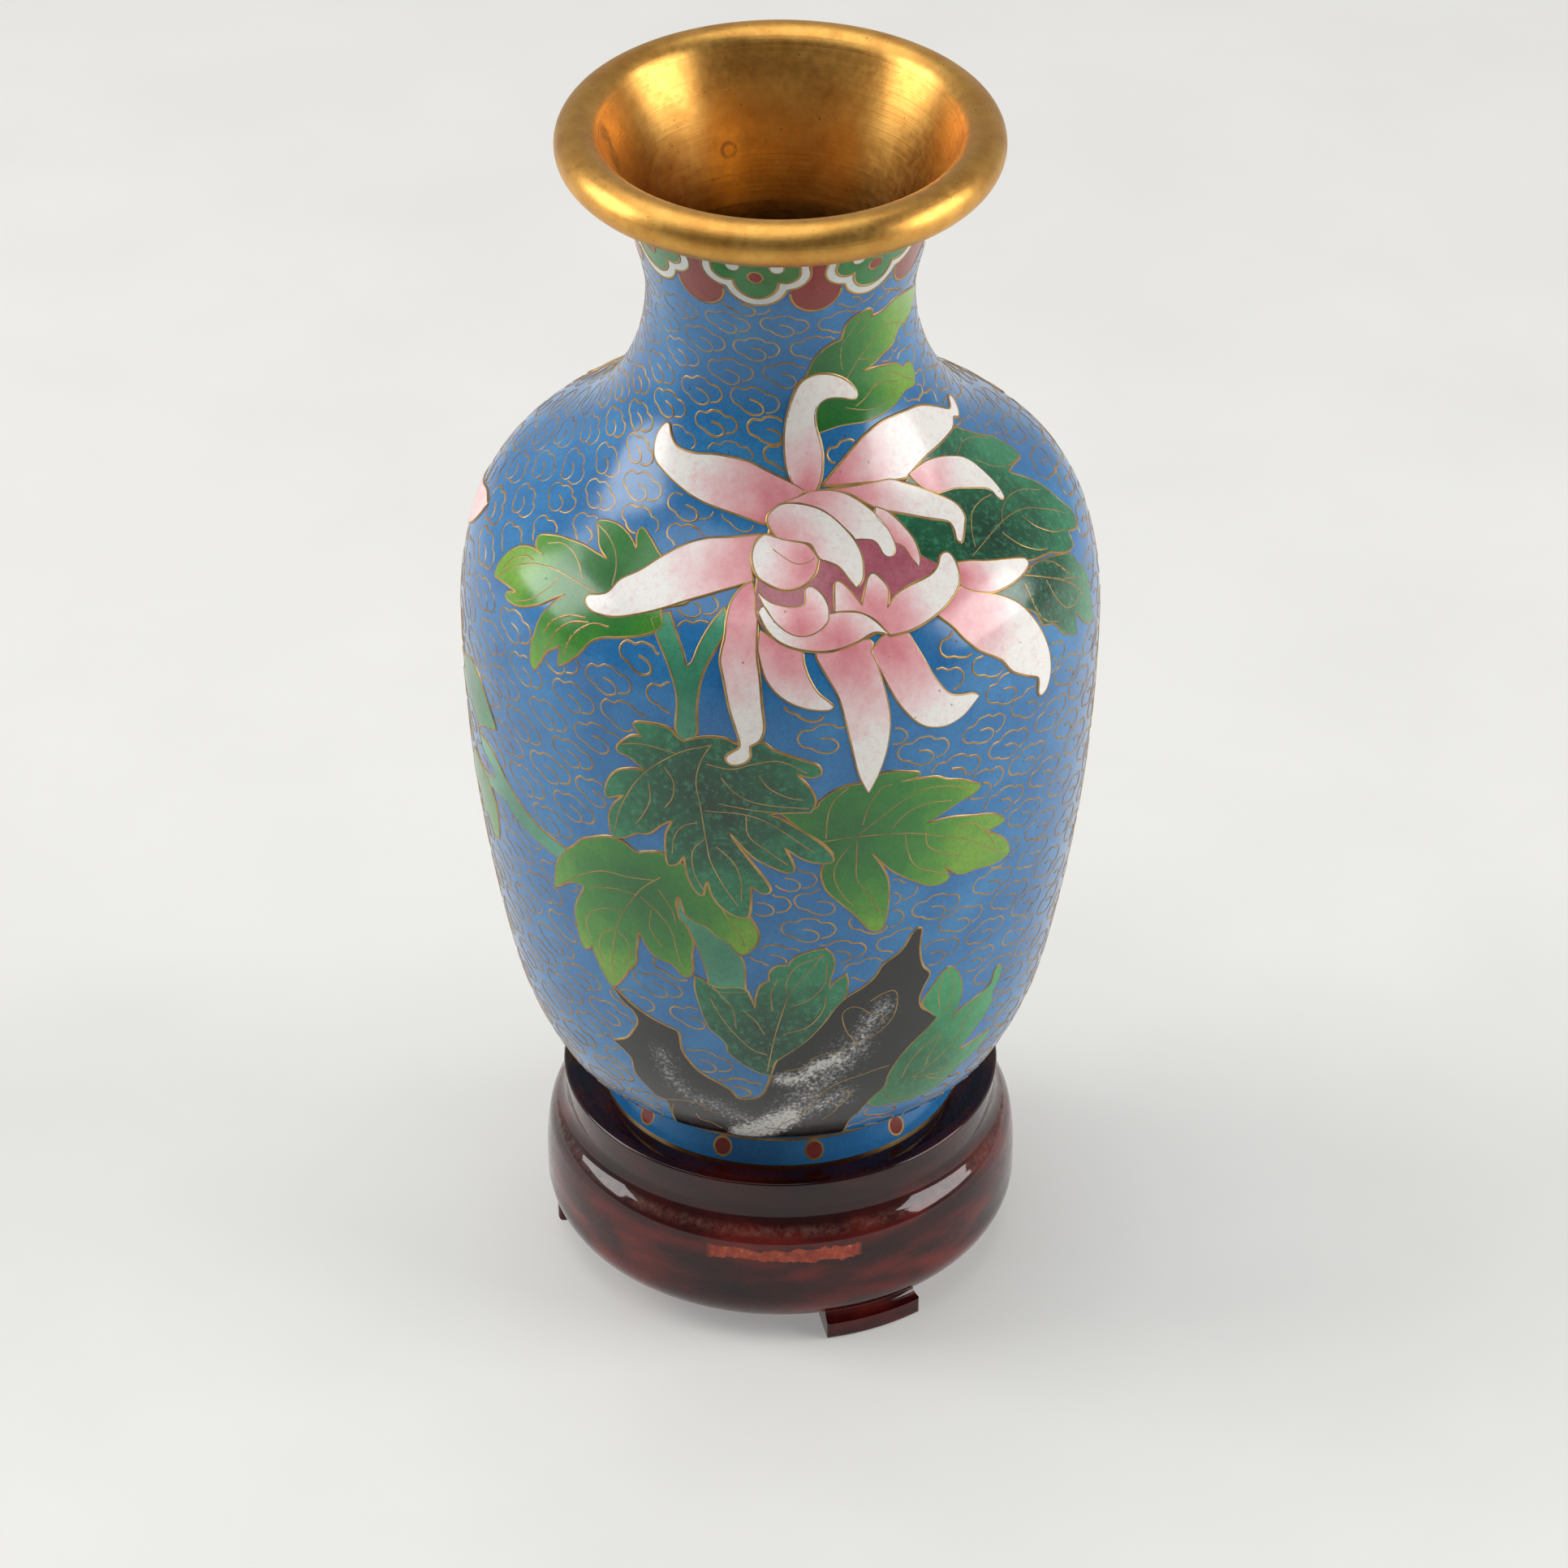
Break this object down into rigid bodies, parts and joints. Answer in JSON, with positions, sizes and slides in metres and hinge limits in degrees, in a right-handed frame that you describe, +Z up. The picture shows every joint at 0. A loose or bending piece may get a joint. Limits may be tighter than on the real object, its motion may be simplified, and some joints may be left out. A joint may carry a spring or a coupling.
{
  "type": "cloisonne vase",
  "caption": "Baluster cloisonne vase with a flared gilt mouth, blue enamel ground and flower design, standing loose on a turned lacquered wooden stand.",
  "frame": {"origin": "centre of the stand's footprint on the table", "axes": "+Z up along the vase's axis of revolution, -Y towards the front of the flower design"},
  "size_m": [0.0868, 0.0868, 0.1784],
  "materials": {
    "gilt_brass": "satin gilt, lightly tarnished",
    "copper": "bare copper sheet",
    "blue_enamel": "glossy polished enamel",
    "green_enamel": "glossy polished enamel",
    "white_enamel": "glossy polished enamel",
    "red_enamel": "glossy polished enamel",
    "lining_enamel": "glossy fired counter-enamel",
    "lacquered_wood": "dark red-brown gloss lacquer"
  },
  "bodies": {
    "stand": {"stand_ring": "lacquered_wood", "stand_panel": "lacquered_wood", "stand_foot_front": "lacquered_wood", "stand_foot_right": "lacquered_wood", "stand_foot_left": "lacquered_wood"},
    "vase": {"mouth_rim": "gilt_brass", "neck_shell": "gilt_brass", "shoulder_shell": "copper", "lower_shell": "copper", "base_disc": "copper", "foot_ring": "gilt_brass", "neck_enamel": "blue_enamel", "shoulder_enamel": "blue_enamel", "lower_enamel": "blue_enamel", "foot_enamel": "blue_enamel", "lappet_cells": "green_enamel", "lappet_borders": "white_enamel", "lappet_dots": "red_enamel", "neck_scallops": "red_enamel", "foot_dots": "red_enamel", "shoulder_lining": "lining_enamel", "lower_lining": "lining_enamel", "base_lining": "lining_enamel", "base_enamel": "lining_enamel", "seam_wire": "gilt_brass", "foot_dot_wires": "gilt_brass"}
  },
  "joints": [
    {"name": "vase_lift", "type": "slide", "parent": "stand", "child": "vase", "axis": [0, 0, 1], "range_m": [0, 0.04]}
  ]
}
